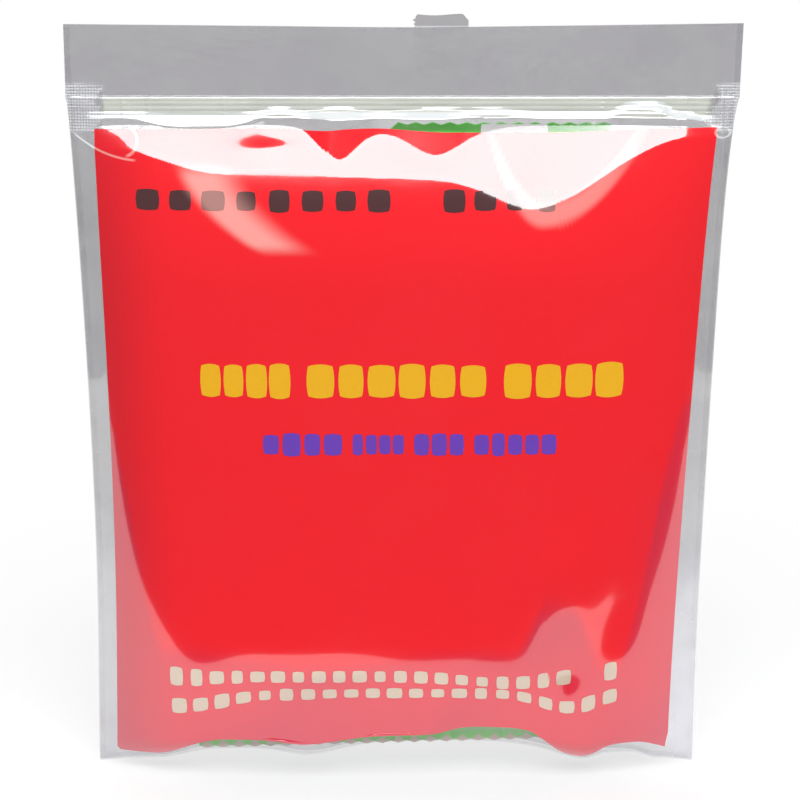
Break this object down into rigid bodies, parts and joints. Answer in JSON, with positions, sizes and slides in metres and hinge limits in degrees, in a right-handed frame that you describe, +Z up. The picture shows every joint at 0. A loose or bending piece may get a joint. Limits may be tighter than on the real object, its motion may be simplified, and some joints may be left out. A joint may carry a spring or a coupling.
{
  "type": "packed smoke hood",
  "caption": "Clear resealable pouch with a red printed front, holding a folded smoke hood, a foil sachet with a wet towel and a leaflet; hung by a strip of tape.",
  "frame": {"origin": "middle of the rear face of the hanging tape, which sticks to the wall", "axes": "+Z up along the pouch's height, +Y into the wall, -Y out of the printed front, +X to the right of someone facing the front"},
  "size_m": [0.2233, 0.0205, 0.2641],
  "materials": {
    "film_clear": "clear glossy bag film, slightly grey",
    "seam_film": "two layers of bag film fused, clear",
    "zip_clear": "clear ribbed zip profile",
    "tape_clear": "clear adhesive tape",
    "print_red": "bright red ink on film, glossy",
    "leaflet_paper": "uncoated white paper",
    "hood_film": "thin heat-resistant hood film, many layers",
    "visor_clear": "clear visor sheet",
    "frame_plastic": "moulded dark plastic",
    "filter_felt": "carbon felt",
    "elastic_black": "woven elastic",
    "strap_yellow": "woven strap",
    "band_paper": "kraft paper",
    "foil_green": "glossy green laminate foil",
    "foil_seal": "crimped green laminate foil",
    "label_white": "white ink panel",
    "towel_cloth": "damp non-woven towel"
  },
  "bodies": {
    "pouch": {"back_film": "film_clear", "side_weld_left": "seam_film", "side_weld_right": "seam_film", "bottom_crease": "seam_film", "zip_crush_left": "zip_clear", "zip_crush_right": "zip_clear", "zip_groove_strip": "zip_clear", "hang_tape": "tape_clear"},
    "front_panel": {"front_film": "film_clear", "front_print": "print_red", "zip_rib_strip": "zip_clear"},
    "leaflet": {"leaflet_back": "leaflet_paper", "leaflet_front": "leaflet_paper"},
    "hood": {"hood_film": "hood_film", "hood_visor": "visor_clear", "filter_frame": "frame_plastic", "filter_pad": "filter_felt", "neck_elastic": "elastic_black", "head_strap": "strap_yellow", "paper_band": "band_paper"},
    "sachet": {"sachet_front": "foil_green", "sachet_back": "foil_green", "sachet_top_seal": "foil_seal", "sachet_bottom_seal": "foil_seal", "sachet_fin": "foil_seal", "sachet_label": "label_white", "wet_towel": "towel_cloth"}
  },
  "joints": [
    {"name": "sachet_lift", "type": "slide", "parent": "pouch", "child": "sachet", "axis": [0, 0, 1], "range_m": [0, 0.267]},
    {"name": "front_open", "type": "hinge", "parent": "pouch", "child": "front_panel", "pos_m": [-0.012, -0.0013, -0.255], "axis": [1, 0, 0], "range_deg": [0, 20]},
    {"name": "hood_lift", "type": "slide", "parent": "pouch", "child": "hood", "axis": [0, 0, 1], "range_m": [0, 0.258]},
    {"name": "leaflet_lift", "type": "slide", "parent": "pouch", "child": "leaflet", "axis": [0, 0, 1], "range_m": [0, 0.262]}
  ],
  "couplings": [
    {"joint": "front_open", "follows": "sachet_lift", "rad_per_m": 1.307},
    {"joint": "hood_lift", "follows": "sachet_lift", "ratio": 0.9625},
    {"joint": "leaflet_lift", "follows": "sachet_lift", "ratio": 0.9775}
  ]
}
